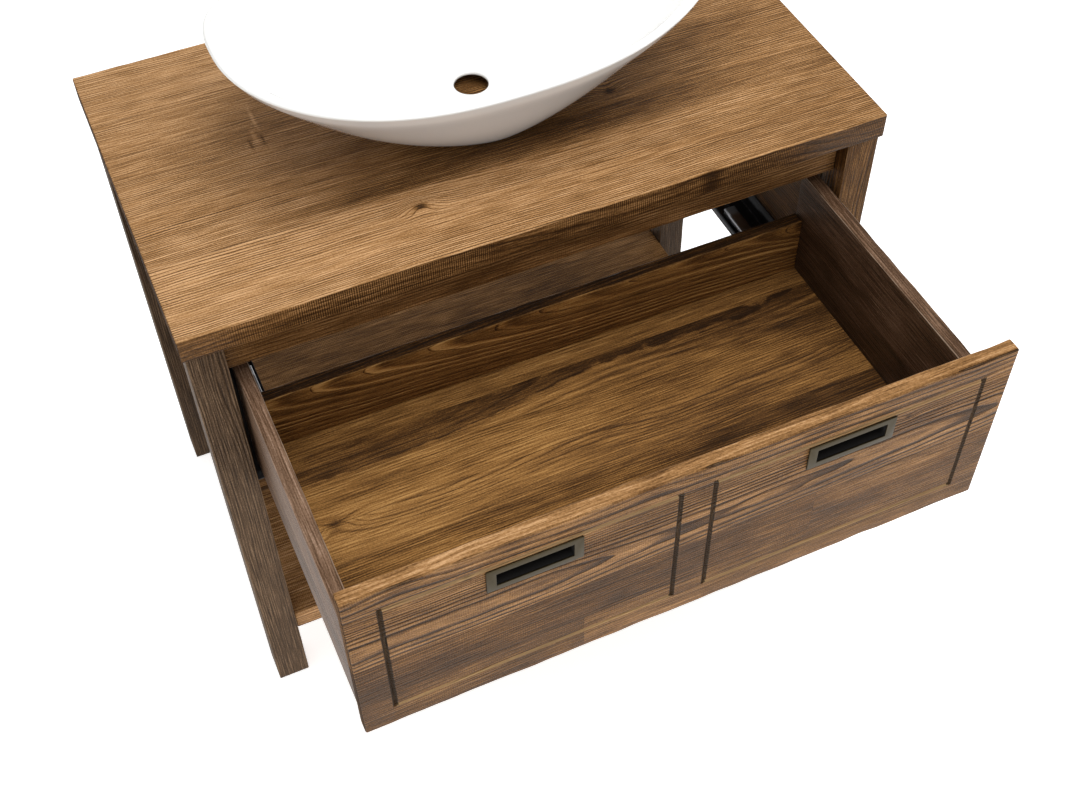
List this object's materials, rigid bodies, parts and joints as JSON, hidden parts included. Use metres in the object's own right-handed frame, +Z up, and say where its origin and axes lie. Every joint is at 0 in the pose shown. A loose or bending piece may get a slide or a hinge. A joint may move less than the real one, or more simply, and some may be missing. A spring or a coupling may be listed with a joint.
{
  "type": "vanity unit with vessel sink",
  "caption": "Stained-pine washstand with a wide recessed-pull drawer on undermount slides, an open lower shelf and a white vessel basin.",
  "frame": {"origin": "on the floor, at the middle of the bounding box with the drawer pulled out 364 mm as modelled", "axes": "+X to the right seen from the front, +Y towards the wall, +Z up"},
  "size_m": [0.9, 0.8634, 0.9123],
  "materials": {
    "worktop_pine": "brown stain, satin varnish",
    "frame_pine": "brown stain, satin varnish",
    "shelf_pine": "brown stain, satin varnish",
    "drawer_front_pine": "brown stain, satin varnish",
    "drawer_box_pine": "brown stain, satin varnish",
    "basin_glaze": "gloss white glaze",
    "pull_pewter": "antique pewter plating",
    "slide_steel": "black passivated steel",
    "slide_nylon": "moulded nylon",
    "zinc_steel": "zinc plated"
  },
  "bodies": {
    "cabinet": {"worktop": "worktop_pine", "basin": "basin_glaze", "leg_front_left": "frame_pine", "leg_front_right": "frame_pine", "leg_rear_left": "frame_pine", "leg_rear_right": "frame_pine", "front_rail": "frame_pine", "rear_rail": "frame_pine", "side_apron_left": "frame_pine", "side_apron_right": "frame_pine", "shelf": "shelf_pine", "slide_left_cabinet_member": "slide_steel", "slide_right_cabinet_member": "slide_steel", "worktop_bracket_front_left": "zinc_steel", "worktop_bracket_rear_left": "zinc_steel", "worktop_bracket_front_right": "zinc_steel", "worktop_bracket_rear_right": "zinc_steel", "slide_left_screw_front": "zinc_steel", "slide_left_screw_middle": "zinc_steel", "slide_left_screw_rear": "zinc_steel", "worktop_bracket_front_left_side_screw": "zinc_steel", "worktop_bracket_front_left_top_screw": "zinc_steel", "worktop_bracket_rear_left_side_screw": "zinc_steel", "worktop_bracket_rear_left_top_screw": "zinc_steel", "slide_right_screw_front": "zinc_steel", "slide_right_screw_middle": "zinc_steel", "slide_right_screw_rear": "zinc_steel", "worktop_bracket_front_right_side_screw": "zinc_steel", "worktop_bracket_front_right_top_screw": "zinc_steel", "worktop_bracket_rear_right_side_screw": "zinc_steel", "worktop_bracket_rear_right_top_screw": "zinc_steel"},
    "drawer": {"drawer_front": "drawer_front_pine", "drawer_side_left": "drawer_box_pine", "drawer_side_right": "drawer_box_pine", "drawer_back": "drawer_box_pine", "drawer_bottom": "drawer_box_pine", "pull_left": "pull_pewter", "pull_right": "pull_pewter", "slide_left_drawer_member": "slide_steel", "slide_right_drawer_member": "slide_steel", "slide_left_locking_clip": "slide_nylon", "slide_right_locking_clip": "slide_nylon"},
    "slide_left_middle": {"slide_left_middle_member": "slide_steel"},
    "slide_left_cage": {"slide_left_roller_cage": "slide_nylon"},
    "slide_right_middle": {"slide_right_middle_member": "slide_steel"},
    "slide_right_cage": {"slide_right_roller_cage": "slide_nylon"}
  },
  "joints": [
    {"name": "drawer_slide", "type": "slide", "parent": "cabinet", "child": "drawer", "axis": [0, -1, 0], "range_m": [-0.364, 0.036]},
    {"name": "slide_left_middle_travel", "type": "slide", "parent": "cabinet", "child": "slide_left_middle", "axis": [0, -1, 0], "range_m": [-0.182, 0.018]},
    {"name": "slide_left_cage_travel", "type": "slide", "parent": "cabinet", "child": "slide_left_cage", "axis": [0, -1, 0], "range_m": [-0.091, 0.009]},
    {"name": "slide_right_middle_travel", "type": "slide", "parent": "cabinet", "child": "slide_right_middle", "axis": [0, -1, 0], "range_m": [-0.182, 0.018]},
    {"name": "slide_right_cage_travel", "type": "slide", "parent": "cabinet", "child": "slide_right_cage", "axis": [0, -1, 0], "range_m": [-0.091, 0.009]}
  ],
  "couplings": [
    {"joint": "slide_left_middle_travel", "follows": "drawer_slide", "ratio": 0.5},
    {"joint": "slide_left_cage_travel", "follows": "drawer_slide", "ratio": 0.25},
    {"joint": "slide_right_middle_travel", "follows": "drawer_slide", "ratio": 0.5},
    {"joint": "slide_right_cage_travel", "follows": "drawer_slide", "ratio": 0.25}
  ]
}
